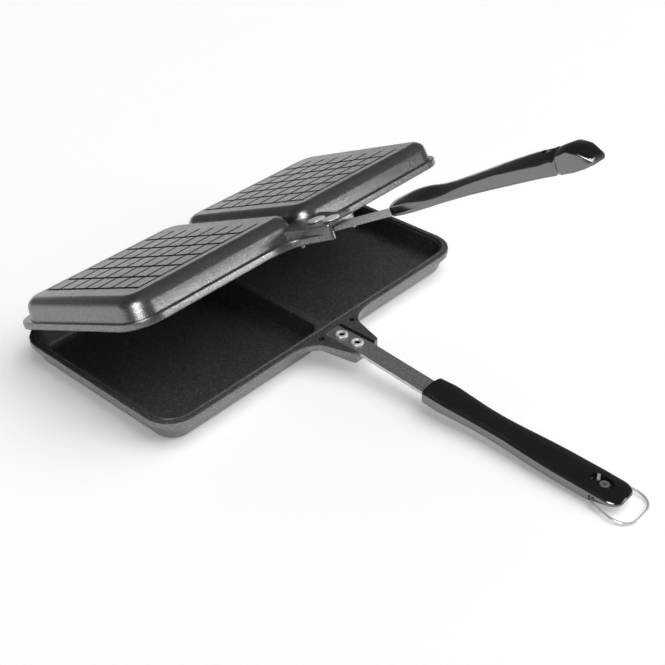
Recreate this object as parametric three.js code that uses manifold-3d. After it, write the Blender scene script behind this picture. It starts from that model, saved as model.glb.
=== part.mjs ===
import * as THREE from "three";
import { mergeVertices } from "three/addons/utils/BufferGeometryUtils.js";
import Module from "manifold-3d";

const wasm = await Module();
wasm.setup();

// A double stovetop sandwich pan. Lengths are in millimetres, angles in degrees.
// X runs along the two compartments, the handles point to -Y, the hinge is at +Y,
// and Z = 0 is the flat underside of the tray. Each piece is drawn about the middle of
// the tray, and the whole is then moved so that its footprint is centred on Y = 0.

// Both castings
const castingLength = 280;
const castingDepth = 150;
const rimCorner = 20;
const rimEdge = 0.7;
const rimGap = 0.5;
const cavityInset = 5;
const cavityEdge = 1.2;
const cavityFillet = 5;
const dividerHalf = 1.9;
const dividerCorner = 10;

// Base tray
const trayHeight = 19.5;
const trayFlange = 5.2;
const trayLedge = 2.8;
const trayDraft = 18;
const trayBottomRadius = 6;
const trayFloor = 3.5;
const trayCavityDraft = 14;
const trayValleyHalf = 1;
const trayValleyCorner = 12;
const beadInset = 3.2;
const beadWidth = 1.8;
const beadHeight = 0.7;
const dividerDrop = 0.5;

// Lid casting
const lidHeight = 18.5;
const lidFlange = 4.7;
const lidLedge = 4.2;
const lidHingeLedge = 10.8;
const lidEndLedge = 2.6;
const lidDraft = 8;
const lidShoulderRadius = 7.5;
const lidTop = 3.5;
const lidCavityDraft = 10;
const lidValleyHalf = 1.8;
const lidValleyCorner = 15;
const rebateInset = 2.6;
const rebateDepth = 0.8;
const lidOpening = 24.2;

// Grooves in the domes
const grooveWidth = 1.5;
const grooveDepth = 0.9;
const grooveColumnPitch = 16.4;
const grooveRowPitch = 15.3;
const grooveBreak = 2.6;
const grooveColumns = 6;
const grooveRows = 7;
const grooveShift = -1.2;

// Handle brackets
const neckRootHalf = 38;
const neckWaistHalf = 17.2;
const neckWaistReach = 10.5;
const neckOuterShare = 0.45;
const neckInnerShare = 0.07;
const neckTurnShare = 0.5;
const bracketReach = 31;
const bracketShift = 1.3;
const bracketHalf = 11.8;
const bracketRootHalf = 17.2;
const bracketRootDepth = 15;
const bracketShoulder = 5;
const bracketCorner = 2.5;
const bracketEdge = 0.8;
const trayBracketHeight = 8.2;
const lidBracketHeight = 10;
const channelWall = 1.2;
const channelGap = 1.3;
const channelShift = 0.6;
const dowelHalfSpacing = 14.6;
const dowelShift = 2.2;
const dowelSetback = 4.2;
const dowelRadius = 1.5;
const dowelLength = 3;
const dowelHoleRadius = 2;
const dowelHoleDepth = 3.5;

// Flat bars
const barWidth = 13.6;
const barThickness = 2.4;
const barEnd = 1.2;
const tangWidth = 9;
const trayBarDepth = 0.8;
const trayBarSlope = 5.5;
const trayTangSlope = 2.6;
const lidBarDepth = 4.6;
const lidBarSlope = 7.3;
const lidTangSlope = 8.5;

// Rivets
const rivetSetback = 8.9;
const rivetPitch = 13.4;
const shankRadius = 2.6;
const rivetHeadRadius = 5.8;
const rivetHeadHeight = 1.7;
const rivetDomeShare = 0.75;
const clinchRadius = 4.4;
const clinchHeight = 0.7;
const rivetBoreRadius = 1.9;
const rivetBoreDepth = 3;

// Handles
const handleFrontEdge = 1;
const underRadius = 3;
const trayHandleEdge = 1.6;
const lidHandleEdge = 1.2;
const roundWidthShare = 0.9;
const roundHeightShare = 0.45;
const crownPlaceShares = [0.6, 0.2, -0.2, -0.6];
const trayBarReach = 53;
const trayHandleLength = 139;
const trayHandleWidth = 22.6;
const trayHandleThickness = 10;
const trayHandleDrop = 3;
const trayHandleSlope = 2.6;
const trayHandleTip = 8;
const tipTurn = 80;
const tipSideShare = 0.9;
const tipHeightShare = 0.2;
const lidBarReach = 51.5;
const lidHandleLength = 141;
const lidHandleWidth = 18;
const lidHandleThickness = 12;
const lidHandleLift = 10;
const lidHandleSlope = 6.7;
const collarSetback = 20.5;
const collarWidth = 4;
const collarDepth = 0.8;
const trayRecessLength = 14.5;
const trayRecessWidth = 8.5;
const lidRecessLength = 9;
const lidRecessWidth = 6.4;
const recessDepth = 2.4;
const trayRecessSetback = 16.5;
const trayRivetSetback = 15;
const lidRivetSetback = 26.5;
const handleRivetRadius = 2.9;
const handleRivetShank = 1.9;
const handleRivetBore = 1.3;
const handleRivetFlange = 0.6;
const mouldGap = 0.3;

// Hanging ring
const wireRadius = 0.9;
const ringSetback = 16.5;
const ringRise = 2.3;
const ringReach = 26.5;
const ringHalf = 14.4;
const ringCorner = 12;
const ringCornerSpan = 11.4;
const ringBend = 2.2;
const ringTail = 3.2;
const ringPocketLength = 3.8;
const ringPocketHeight = 5;
const ringPocketDepth = 1.5;

// Hinge
const hingeReach = 5.5;
const hingeDrop = 2.8;
const hingeSpread = 82;
const lugRadius = 4.5;
const lugWidth = 7;
const lidLugWidth = 10;
const lugGap = 0.35;
const hingePinRadius = 1.75;
const hingePinOverhang = 0.8;
const hingePinEdge = 0.4;

// Clearances, the overrun of all cuts, and the sink of joined forms into each other
const runningGap = 0.25;
const seatGap = 0.3;
const overrun = 3;
const sink = 2;
const tableGap = 0.1;

// Facet counts
const cornerSteps = 5;
const filletSteps = 4;
const roundSteps = 16;
const sectionSteps = 3;
const wireSteps = 44;
const wireQuarterSteps = 4;
const trayHandleSteps = 11;
const trayTipSteps = 5;
const lidHandleSteps = 24;

const halfLength = castingLength / 2;
const halfDepth = castingDepth / 2;
const hingeY = halfDepth + hingeReach;
const hingeZ = trayHeight - hingeDrop;
const lidRim = trayHeight + rimGap;
const channelHalf = barWidth / 2 + channelGap;
const bracketEnd = halfDepth + bracketReach;
const trayHandleStart = bracketEnd + trayBarReach;
const lidHandleStart = bracketEnd + lidBarReach;
const channelBack = halfDepth + channelWall;
const rivetPlaces = [channelBack + rivetSetback, channelBack + rivetSetback + rivetPitch];
const radians = THREE.MathUtils.degToRad;

// Solids and meshes

function solidOf(geometry) {
  const bare = geometry.clone();
  bare.deleteAttribute("normal");
  bare.deleteAttribute("uv");
  const merged = mergeVertices(bare);
  const mesh = new wasm.Mesh({
    numProp: 3,
    vertProperties: merged.attributes.position.array,
    triVerts: new Uint32Array(merged.index.array),
  });
  return new wasm.Manifold(mesh);
}

function geometryOf(solid) {
  const mesh = solid.getMesh();
  const geometry = new THREE.BufferGeometry();
  geometry.setAttribute("position", new THREE.BufferAttribute(mesh.vertProperties, 3));
  geometry.setIndex(new THREE.BufferAttribute(mesh.triVerts, 1));
  const flat = geometry.toNonIndexed();
  flat.computeVertexNormals();
  return flat;
}

function joined(solids) {
  return solids.reduce((whole, piece) => whole.add(piece));
}

function cut(solid, cutters) {
  return cutters.reduce((rest, cutter) => rest.subtract(cutter), solid);
}

function moved(solid, x, y, z) {
  return solid.translate([x, y, z]);
}

// A closed skin through rings of equally many points, each ring counter-clockwise
// when seen from where the last ring lies.
function loft(rings) {
  const count = rings[0].length;
  const points = rings.flat();
  const triangles = [];
  for (let ring = 0; ring + 1 < rings.length; ring++) {
    for (let k = 0; k < count; k++) {
      const a = ring * count + k;
      const b = ring * count + ((k + 1) % count);
      triangles.push(a, b, b + count, a, b + count, a + count);
    }
  }
  for (let k = 1; k + 1 < count; k++) {
    const last = (rings.length - 1) * count;
    triangles.push(0, k + 1, k);
    triangles.push(last, last + k, last + k + 1);
  }
  const geometry = new THREE.BufferGeometry().setFromPoints(points);
  geometry.setIndex(triangles);
  return solidOf(geometry);
}

// A shape in its own plane, pushed up along Z from the given height
function plate(shape, bottom, height, edge = 0) {
  const rounding = { bevelThickness: edge, bevelSize: edge, bevelOffset: -edge, bevelSegments: 2 };
  const settings = { depth: height - 2 * edge, curveSegments: cornerSteps, bevelEnabled: edge > 0 };
  const geometry = new THREE.ExtrudeGeometry(shape, { ...settings, ...rounding });
  geometry.translate(0, 0, bottom + edge);
  return solidOf(geometry);
}

// A shape drawn in Y and Z, pushed across X over the given width, centred on X = middle
function slab(shape, middle, width) {
  const geometry = new THREE.ExtrudeGeometry(shape, {
    depth: width,
    curveSegments: cornerSteps,
    bevelEnabled: false,
  });
  const yAxis = new THREE.Vector3(0, 1, 0);
  const zAxis = new THREE.Vector3(0, 0, 1);
  const xAxis = new THREE.Vector3(1, 0, 0);
  geometry.applyMatrix4(new THREE.Matrix4().makeBasis(yAxis, zAxis, xAxis));
  geometry.translate(middle - width / 2, 0, 0);
  return solidOf(geometry);
}

function turned(profile) {
  const points = profile.map(([radius, height]) => new THREE.Vector2(radius, height));
  const geometry = new THREE.LatheGeometry(points, roundSteps);
  geometry.rotateX(Math.PI / 2);
  return solidOf(geometry);
}

function rod(radius, bottom, height) {
  const top = bottom + height;
  return turned([[0, bottom], [radius, bottom], [radius, top], [0, top]]);
}

function crossRod(radius, middle, width, edge = 0) {
  const half = width / 2;
  const neck = radius - edge;
  const ends = edge > 0
    ? [[0, -half], [neck, -half], [radius, edge - half], [radius, half - edge], [neck, half], [0, half]]
    : [[0, -half], [radius, -half], [radius, half], [0, half]];
  return turned(ends).rotate([0, 90, 0]).translate([middle, 0, 0]);
}

function polygon(points) {
  return new THREE.Shape(points.map(([x, y]) => new THREE.Vector2(x, y)));
}

// Castings: each is drawn with its rim face at Z = 0 and its metal above it

function planOutline(plan, inset, height) {
  const { left, right, front, back } = plan;
  const corners = [
    [right - inset, back - inset, plan.rightRadius, 0],
    [left + inset, back - inset, plan.leftRadius, 1],
    [left + inset, front + inset, plan.leftRadius, 2],
    [right - inset, front + inset, plan.rightRadius, 3],
  ];
  const points = [];
  for (const [x, y, fullRadius, quarter] of corners) {
    const radius = Math.max(fullRadius - inset, rimEdge);
    const signX = quarter === 0 || quarter === 3 ? 1 : -1;
    const signY = quarter < 2 ? 1 : -1;
    for (let step = 0; step <= cornerSteps; step++) {
      const angle = (quarter + step / cornerSteps) * (Math.PI / 2);
      const pointX = x - signX * radius + radius * Math.cos(angle);
      const pointY = y - signY * radius + radius * Math.sin(angle);
      points.push(new THREE.Vector3(pointX, pointY, height));
    }
  }
  return points;
}

function raised(plan, profile) {
  return loft(profile.map(([inset, height]) => planOutline(plan, inset, height)));
}

// Inset and height pairs up a drafted wall and round its shoulder onto a flat top
function drafted(foot, bottom, top, draft, radius) {
  const lean = radians(draft);
  const wallTop = top - radius + radius * Math.sin(lean);
  const wallInset = foot + (wallTop - bottom) * Math.tan(lean);
  const centreInset = wallInset + radius * Math.cos(lean);
  const profile = [];
  for (let step = 0; step <= filletSteps; step++) {
    const angle = lean + (step / filletSteps) * (Math.PI / 2 - lean);
    profile.push([
      centreInset - radius * Math.cos(angle),
      top - radius + radius * Math.sin(angle),
    ]);
  }
  return profile;
}

const rimPlan = {
  left: -halfLength,
  right: halfLength,
  front: -halfDepth,
  back: halfDepth,
  leftRadius: rimCorner,
  rightRadius: rimCorner,
};

// The plan of one pan on the right, from the middle gap to the end of the casting
function panPlan(inset, endInset, hingeInset, middleGap, innerCorner) {
  return {
    left: middleGap,
    right: halfLength - endInset,
    front: inset - halfDepth,
    back: halfDepth - hingeInset,
    leftRadius: innerCorner,
    rightRadius: rimCorner - inset,
  };
}

function bothSides(solid) {
  return [solid, solid.mirror([1, 0, 0])];
}

function flangePlate(thickness) {
  const round = rimEdge * (1 - Math.SQRT1_2);
  return raised(rimPlan, [
    [rimEdge, 0],
    [round, round],
    [0, rimEdge],
    [0, thickness - rimEdge],
    [round, thickness - round],
    [rimEdge, thickness],
  ]);
}

function pan(size) {
  const { ledge, endLedge, hingeLedge, valleyHalf, valleyCorner } = size;
  const plan = panPlan(ledge, endLedge, hingeLedge, valleyHalf, valleyCorner);
  const wall = drafted(0, size.flange, size.height, size.draft, size.shoulder);
  return raised(plan, [[0, size.flange / 2], [0, size.flange], ...wall]);
}

function cavity(size, mouth) {
  const hingeInset = cavityInset + size.hingeLedge - size.ledge;
  const plan = panPlan(cavityInset, cavityInset, hingeInset, dividerHalf, dividerCorner);
  const round = cavityEdge * (1 - Math.SQRT1_2);
  const lip = [[0, mouth], [cavityEdge - round, mouth + round], [cavityEdge, mouth + cavityEdge]];
  const depth = size.height - size.floor;
  const wall = drafted(cavityEdge, mouth + cavityEdge, depth, size.cavityDraft, cavityFillet);
  return raised(plan, [[0, -overrun], ...lip, ...wall]);
}

// The flange runs out to the bracket in a hollow curve on each side
function neck(thickness) {
  const edge = -halfDepth;
  const waist = edge - neckWaistReach;
  const span = neckRootHalf - neckWaistHalf;
  const outer = neckWaistHalf + span * neckOuterShare;
  const inner = neckWaistHalf + span * neckInnerShare;
  const turn = waist + neckWaistReach * neckTurnShare;
  const shape = new THREE.Shape();
  shape.moveTo(neckRootHalf, edge + sink);
  shape.lineTo(-neckRootHalf, edge + sink);
  shape.lineTo(-neckRootHalf, edge);
  shape.bezierCurveTo(-outer, edge, -inner, turn, -neckWaistHalf, waist);
  bracketEndOf(shape);
  shape.lineTo(neckWaistHalf, waist);
  shape.bezierCurveTo(inner, turn, outer, edge, neckRootHalf, edge);
  return plate(shape, 0, thickness, rimEdge);
}

// The rounded end of a bracket, drawn from its left side to its right side
function bracketEndOf(shape) {
  const y = bracketCorner - bracketEnd;
  const x = bracketHalf - bracketCorner;
  shape.lineTo(-bracketHalf, y);
  shape.absarc(-x, y, bracketCorner, Math.PI, 1.5 * Math.PI);
  shape.absarc(x, y, bracketCorner, 1.5 * Math.PI, 2 * Math.PI);
}

// The thick middle of a bracket tapers from between the pans to its end
function bracketBlock(height) {
  const root = bracketRootDepth - halfDepth;
  const wide = bracketShoulder - halfDepth;
  const shape = new THREE.Shape();
  shape.moveTo(-bracketRootHalf, root);
  shape.lineTo(-bracketRootHalf, wide);
  bracketEndOf(shape);
  shape.lineTo(bracketRootHalf, wide);
  shape.lineTo(bracketRootHalf, root);
  return plate(shape, 0, height, bracketEdge);
}

function channel(depth) {
  const front = -bracketEnd - overrun;
  const sides = polygon([
    [-channelHalf, front],
    [channelHalf, front],
    [channelHalf, -channelBack],
    [-channelHalf, -channelBack],
  ]);
  return moved(plate(sides, -overrun, depth + overrun), channelShift, 0, 0);
}

function rivetHoles(height) {
  const hole = rod(shankRadius + runningGap, -overrun, height + 2 * overrun);
  return rivetPlaces.map((place) => moved(hole, 0, -place, 0));
}

// Two locating pins, or the holes for them, both a little to one side
function dowelPair(solid) {
  return bothSides(moved(solid, dowelHalfSpacing, -halfDepth - dowelSetback, 0))
    .map((side) => moved(side, dowelShift, 0, 0));
}

function castHalf(size) {
  const pans = bothSides(pan(size));
  const bracket = moved(joined([neck(size.flange), bracketBlock(size.bracket)]), bracketShift, 0, 0);
  const body = joined([flangePlate(size.flange), ...pans, bracket]);
  return cut(body, [channel(size.channelDepth), ...rivetHoles(size.bracket)]);
}

// Hinge lugs, drawn in Y and Z about the hinge axis at the origin

function lugShape(rootY, rootTop, rootBottom) {
  const shape = new THREE.Shape();
  const tangent = (z, side) => {
    const distance = Math.hypot(rootY, z);
    return Math.atan2(z, rootY) + side * Math.acos(lugRadius / distance);
  };
  shape.moveTo(rootY, rootTop);
  shape.lineTo(rootY, rootBottom);
  shape.absarc(0, 0, lugRadius, tangent(rootBottom, 1), tangent(rootTop, -1));
  return shape;
}

function lugs(shape, width, places) {
  const hole = hingePinRadius + runningGap;
  return places.map((place) => slab(shape, place, width).subtract(crossRod(hole, place, width + overrun)));
}

// The room that the lid's lugs leave for the rim of the base when the pan is shut
function lugRelief(rimAbove) {
  const front = -hingeReach - sink - overrun;
  const back = seatGap - hingeReach;
  const low = -lugRadius - overrun;
  return slab(polygon([[front, low], [back, low], [back, rimAbove], [front, rimAbove]]), 0, castingLength);
}

const lugOffset = (lidLugWidth + lugWidth) / 2 + lugGap;
const setPlaces = [-hingeSpread, hingeSpread];

function baseTray() {
  const size = {
    height: trayHeight,
    flange: trayFlange,
    ledge: trayLedge,
    hingeLedge: trayLedge,
    endLedge: trayLedge,
    draft: trayDraft,
    shoulder: trayBottomRadius,
    floor: trayFloor,
    cavityDraft: trayCavityDraft,
    valleyHalf: trayValleyHalf,
    valleyCorner: trayValleyCorner,
    bracket: trayBracketHeight,
    channelDepth: trayBarDepth + barThickness + seatGap,
  };
  const beadSlope = beadHeight / 2;
  const bead = raised(rimPlan, [
    [beadInset + beadSlope, -beadHeight],
    [beadInset, -beadSlope],
    [beadInset, rimEdge],
  ]);
  const mouth = raised(rimPlan, [
    [cavityInset - beadSlope, -beadHeight - overrun],
    [cavityInset - beadSlope, -beadHeight],
    [cavityInset, -beadSlope],
    [cavityInset, dividerDrop],
  ]);
  const inside = bothSides(cavity(size, dividerDrop));
  const dowelHole = rod(dowelHoleRadius, -overrun, dowelHoleDepth + overrun);
  const dowelHoles = dowelPair(dowelHole);
  const body = castHalf(size).add(bead);
  const upsideDown = cut(body, [mouth, ...inside, ...dowelHoles]);
  const upright = moved(upsideDown.mirror([0, 0, 1]), 0, 0, trayHeight);
  const shape = lugShape(-hingeReach - sink, hingeDrop - rimEdge, hingeDrop - trayFlange);
  const places = setPlaces.flatMap((place) => [place - lugOffset, place + lugOffset]);
  const ears = lugs(shape, lugWidth, places).map((ear) => moved(ear, 0, hingeY, hingeZ));
  return joined([upright, ...ears]);
}

// One L-shaped stroke runs along a column and turns along the row to its right
function stroke() {
  const half = grooveWidth / 2;
  const reach = grooveColumnPitch - grooveBreak;
  const shape = polygon([
    [-half, -half],
    [reach, -half],
    [reach, half],
    [half, half],
    [half, grooveRowPitch - grooveBreak / 2],
    [-half, grooveRowPitch - grooveBreak / 2],
  ]);
  return plate(shape, lidHeight - grooveDepth, grooveDepth + overrun);
}

function grooves() {
  const mark = stroke();
  const centre = (halfLength - lidLedge + lidValleyHalf) / 2;
  const marks = [];
  for (let row = 0; row < grooveRows; row++) {
    const y = grooveShift + ((grooveRows - 1) / 2 - row) * grooveRowPitch - grooveRowPitch / 2;
    for (let column = 0; column < grooveColumns; column++) {
      const x = (column - grooveColumns / 2) * grooveColumnPitch;
      marks.push(moved(mark, x - centre, y, 0), moved(mark, x + centre, y, 0));
    }
  }
  return joined(marks);
}

function lidCasting() {
  const size = {
    height: lidHeight,
    flange: lidFlange,
    ledge: lidLedge,
    hingeLedge: lidHingeLedge,
    endLedge: lidEndLedge,
    draft: lidDraft,
    shoulder: lidShoulderRadius,
    floor: lidTop,
    cavityDraft: lidCavityDraft,
    valleyHalf: lidValleyHalf,
    valleyCorner: lidValleyCorner,
    bracket: lidBracketHeight,
    channelDepth: lidBarDepth + barThickness + seatGap,
  };
  const rebate = raised(rimPlan, [[rebateInset, -overrun], [rebateInset, rebateDepth]]);
  const inside = bothSides(cavity(size, rebateDepth));
  const body = cut(castHalf(size), [rebate, ...inside, grooves()]);
  const dowel = turned([
    [0, -dowelLength],
    [dowelRadius - rimEdge, -dowelLength],
    [dowelRadius, rimEdge - dowelLength],
    [dowelRadius, rimEdge],
    [0, rimEdge],
  ]);
  const dowels = dowelPair(dowel);
  const rimAbove = hingeDrop + rimGap;
  const shape = lugShape(-hingeReach - sink, rimAbove + lidFlange - rimEdge, rimAbove + rimEdge);
  const relief = lugRelief(rimAbove);
  const ears = lugs(shape, lidLugWidth, setPlaces)
    .map((ear) => moved(ear.subtract(relief), 0, hingeY, hingeZ));
  return joined([moved(joined([body, ...dowels]), 0, 0, lidRim), ...ears]);
}

// Flat bars, drawn with the bracket's rim face at Z = 0 and their bend towards +Z

function barPath(depth, barSlope, tangSlope, tangStart, rivetY) {
  const bend = bracketEnd;
  const tangEnd = tangWidth / 2 - rivetY;
  const barDrop = (tangStart - bend) * Math.tan(radians(barSlope));
  const tangDrop = (tangEnd - tangStart) * Math.tan(radians(tangSlope));
  return [
    [-channelBack - seatGap, depth],
    [-bend, depth],
    [-tangStart, depth + barDrop],
    [-tangEnd, depth + barDrop + tangDrop],
  ];
}

// The flat strip along a path, narrowed to its tang; a growth of it cuts the handle's slot
function strip(path, growth) {
  const low = path.map(([y, z]) => [y, z - growth]);
  const high = path.map(([y, z]) => [y, z + barThickness + growth]).reverse();
  const [start, , tangStart, tangEnd] = path.map(([y]) => y);
  const side = slab(polygon([...low, ...high]), 0, barWidth + 2 * growth);
  const half = barWidth / 2 + growth;
  const tangHalf = tangWidth / 2 + growth;
  const shoulder = tangStart - underRadius - growth;
  const end = tangEnd - growth;
  const plan = polygon([
    [half, start + overrun],
    [-half, start + overrun],
    [-half, shoulder],
    [-tangHalf, shoulder - barEnd],
    [-tangHalf, end + barEnd],
    [barEnd - tangHalf, end],
    [tangHalf - barEnd, end],
    [tangHalf, end + barEnd],
    [tangHalf, shoulder - barEnd],
    [half, shoulder],
  ]);
  const levels = path.map(([, z]) => z);
  const bottom = Math.min(...levels) - overrun;
  const room = Math.max(...levels) + barThickness + overrun - bottom;
  return side.intersect(plate(plan, bottom, room));
}

// Handles

// A smooth value between the rows of a table whose first column is the share along
function between(rows, share, column) {
  const last = rows.length - 1;
  const found = rows.findIndex((row) => row[0] >= share);
  const next = Math.min(Math.max(found < 0 ? last : found, 1), last);
  const slopeAt = (k) => {
    const before = rows[Math.max(k - 1, 0)];
    const after = rows[Math.min(k + 1, last)];
    return (after[column] - before[column]) / (after[0] - before[0]);
  };
  const [from, to] = [rows[next - 1], rows[next]];
  const step = to[0] - from[0];
  const t = (share - from[0]) / step;
  const bend = t * t * (3 - 2 * t);
  const start = t * (1 - t) * (1 - t) * step * slopeAt(next - 1);
  const end = t * t * (1 - t) * step * slopeAt(next);
  return from[column] + bend * (to[column] - from[column]) + start - end;
}

// A rounded section with a crowned top, counter-clockwise from its lower left corner
function section(y, half, low, high, crown, edge) {
  const fitted = (radius) => Math.min(radius, half * roundWidthShare, (high - low) * roundHeightShare);
  const under = fitted(underRadius);
  const over = fitted(edge);
  const corners = [
    [-1, low + under, 2, under],
    [1, low + under, 3, under],
    [1, high - over, 0, over],
    [-1, high - over, 1, over],
  ];
  const points = [];
  for (const [side, centreZ, quarter, round] of corners) {
    for (let step = 0; step <= sectionSteps; step++) {
      const angle = (quarter + step / sectionSteps) * (Math.PI / 2);
      const x = side * (half - round) + round * Math.cos(angle);
      const z = centreZ + round * Math.sin(angle);
      points.push([x, z]);
    }
    if (quarter === 0) {
      for (const share of crownPlaceShares) points.push([share * (half - round), high]);
    }
  }
  const middle = (low + high) / 2;
  return points.map(([x, z]) => {
    const lift = z > middle ? crown * (1 - (x / half) ** 2) : 0;
    return new THREE.Vector3(x, y, z + lift);
  });
}

// Rows: share along, then shares of the half width and of the thickness:
// low edge, side's upper edge, and crown
const trayHandleShares = [
  [0, 0.88, 0.08, 0.96, 0.14],
  [0.045, 0.95, 0.08, 0.99, 0.15],
  [0.095, 0.955, 0.08, 0.97, 0.16],
  [0.165, 0.91, 0.09, 0.92, 0.18],
  [0.22, 0.85, 0.1, 0.88, 0.2],
  [0.32, 0.805, 0.08, 0.84, 0.2],
  [0.42, 0.82, 0.05, 0.82, 0.2],
  [0.58, 0.94, 0.02, 0.82, 0.19],
  [0.7, 0.99, 0.02, 0.82, 0.19],
  [0.875, 1, 0.04, 0.82, 0.19],
  [0.905, 1, 0.16, 0.82, 0.18],
  [0.935, 0.99, 0.38, 0.81, 0.17],
  [0.96, 0.98, 0.46, 0.8, 0.17],
  [1, 0.97, 0.52, 0.8, 0.15],
];
const lidHandleShares = [
  [0, 0.84, 0.01, 0.6, 0.12],
  [0.066, 0.96, 0, 0.61, 0.24],
  [0.125, 1.04, 0.02, 0.62, 0.32],
  [0.205, 0.98, 0.06, 0.52, 0.43],
  [0.287, 0.86, 0.1, 0.5, 0.36],
  [0.45, 0.9, 0.13, 0.73, 0.21],
  [0.6, 0.98, 0.125, 0.82, 0.24],
  [0.74, 1, 0.1, 0.79, 0.34],
  [0.81, 0.96, 0.067, 0.75, 0.38],
  [0.86, 0.94, 0.03, 0.86, 0.27],
  [0.9, 0.94, -0.01, 1.02, 0.15],
  [0.93, 0.92, -0.01, 0.98, 0.13],
  [0.965, 0.86, 0.02, 0.72, 0.12],
  [1, 0.64, 0.09, 0.34, 0.05],
];

function trayHandleSections() {
  const tip = trayHandleTip / trayHandleLength;
  const front = handleFrontEdge / trayHandleLength;
  const straight = 1 - tip - front;
  const stations = [[0, handleFrontEdge], [front, 0]];
  for (let k = 1; k <= trayHandleSteps; k++) stations.push([front + (k / trayHandleSteps) * straight, 0]);
  for (let k = 1; k <= trayTipSteps; k++) {
    const turn = (k / trayTipSteps) * radians(tipTurn);
    const inset = trayHandleTip * (1 - Math.cos(turn)) * tipSideShare;
    stations.push([1 - tip + tip * Math.sin(turn), inset]);
  }
  return stations.map(([share, inset]) => {
    const along = share * trayHandleLength;
    const value = (column) => between(trayHandleShares, share, column);
    const fall = trayHandleDrop + along * Math.tan(radians(trayHandleSlope));
    const thickness = trayHandleThickness;
    const half = (trayHandleWidth / 2) * value(1) - inset;
    const squeeze = inset * tipHeightShare;
    const base = fall + thickness;
    const low = -base + thickness * value(2) + squeeze;
    const high = -base + thickness * value(3) - squeeze;
    const crown = thickness * value(4);
    return section(-trayHandleStart - along, half, low, high, crown, trayHandleEdge);
  });
}

function lidHandleSections() {
  const collar = (lidHandleLength - collarSetback) / lidHandleLength;
  const half = collarWidth / 2 / lidHandleLength;
  const shares = [];
  for (let k = 1; k <= lidHandleSteps; k++) {
    const share = k / lidHandleSteps;
    if (Math.abs(share - collar) > 2 * half) shares.push([share, 0]);
  }
  shares.push([0, handleFrontEdge], [handleFrontEdge / lidHandleLength, 0]);
  shares.push([collar - half, 0], [collar - half / 2, collarDepth]);
  shares.push([collar + half / 2, collarDepth], [collar + half, 0]);
  shares.sort((a, b) => a[0] - b[0]);
  return shares.map(([share, inset]) => {
    const along = share * lidHandleLength;
    const value = (column) => between(lidHandleShares, share, column);
    const line = lidHandleLift + along * Math.tan(radians(lidHandleSlope));
    const wide = (lidHandleWidth / 2) * value(1) - inset;
    const low = line + lidHandleThickness * value(2) + inset;
    const high = line + lidHandleThickness * value(3) - inset;
    const crown = lidHandleThickness * value(4);
    return section(-lidHandleStart - along, wide, low, high, crown, lidHandleEdge);
  });
}

const trayRivetY = -(trayHandleStart + trayHandleLength - trayRivetSetback);
const lidRivetY = -(lidHandleStart + lidHandleLength - lidRivetSetback);
const trayBarPath = barPath(trayBarDepth, trayBarSlope, trayTangSlope, trayHandleStart, trayRivetY);
const lidBarPath = barPath(lidBarDepth, lidBarSlope, lidTangSlope, lidHandleStart, lidRivetY);

function drilledBar(path, bracketHeight, rivetY) {
  const hole = rod(handleRivetShank + runningGap, 0, 2 * castingDepth);
  return cut(strip(path, 0), [...rivetHoles(bracketHeight), moved(hole, 0, rivetY, -castingDepth)]);
}

function capsule(length, width) {
  const shape = new THREE.Shape();
  const straight = (length - width) / 2;
  shape.absarc(0, straight, width / 2, 0, Math.PI);
  shape.absarc(0, -straight, width / 2, Math.PI, 2 * Math.PI);
  return shape;
}

// Heights of a handle's lowest and highest line at a place along it
function trayHandleAt(y) {
  const along = -y - trayHandleStart;
  const value = (column) => between(trayHandleShares, along / trayHandleLength, column);
  const base = -trayHandleDrop - along * Math.tan(radians(trayHandleSlope)) - trayHandleThickness;
  const low = base + trayHandleThickness * value(2);
  const high = base + trayHandleThickness * (value(3) + value(4));
  return { low, high, half: (trayHandleWidth / 2) * value(1) };
}

function lidHandleAt(y) {
  const along = -y - lidHandleStart;
  const value = (column) => between(lidHandleShares, along / lidHandleLength, column);
  const base = lidHandleLift + along * Math.tan(radians(lidHandleSlope));
  const low = base + lidHandleThickness * value(2);
  const high = base + lidHandleThickness * (value(3) + value(4));
  return { low, high };
}

const trayRecessY = -(trayHandleStart + trayHandleLength - trayRecessSetback);
const trayRecessZ = trayHandleAt(trayRecessY).high - recessDepth;
const lidRecessZ = lidHandleAt(lidRivetY).high - recessDepth;
const ringY = -(trayHandleStart + trayHandleLength - ringSetback);
const ringZ = trayHandleAt(ringY).low + ringRise;
const ringSideHalf = trayHandleAt(ringY).half;
const ringShoulderHalf = ringSideHalf + wireRadius + runningGap;
const flangeSeat = handleRivetFlange + seatGap;

// The hole for a handle's rivet, with a seat for the rivet's lower flange
function handleRivetHole(y, low) {
  const shank = rod(handleRivetShank + runningGap, low - overrun, 2 * castingDepth);
  const seat = rod(handleRivetRadius + runningGap, low - overrun, overrun + flangeSeat);
  return moved(shank.add(seat), 0, y, 0);
}

function handleRecess(outline, y, floor) {
  return moved(plate(outline, floor, castingDepth), 0, y, 0);
}

// The small pocket in a side of the handle that the ring's end goes into
function ringPocket() {
  const side = ringPocketLength / 2;
  const low = ringZ - wireRadius - runningGap;
  const outline = polygon([
    [ringY - side, low],
    [ringY + side, low],
    [ringY + side, low + ringPocketHeight],
    [ringY - side, low + ringPocketHeight],
  ]);
  return slab(outline, ringSideHalf - ringPocketDepth + overrun, 2 * overrun);
}

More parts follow.
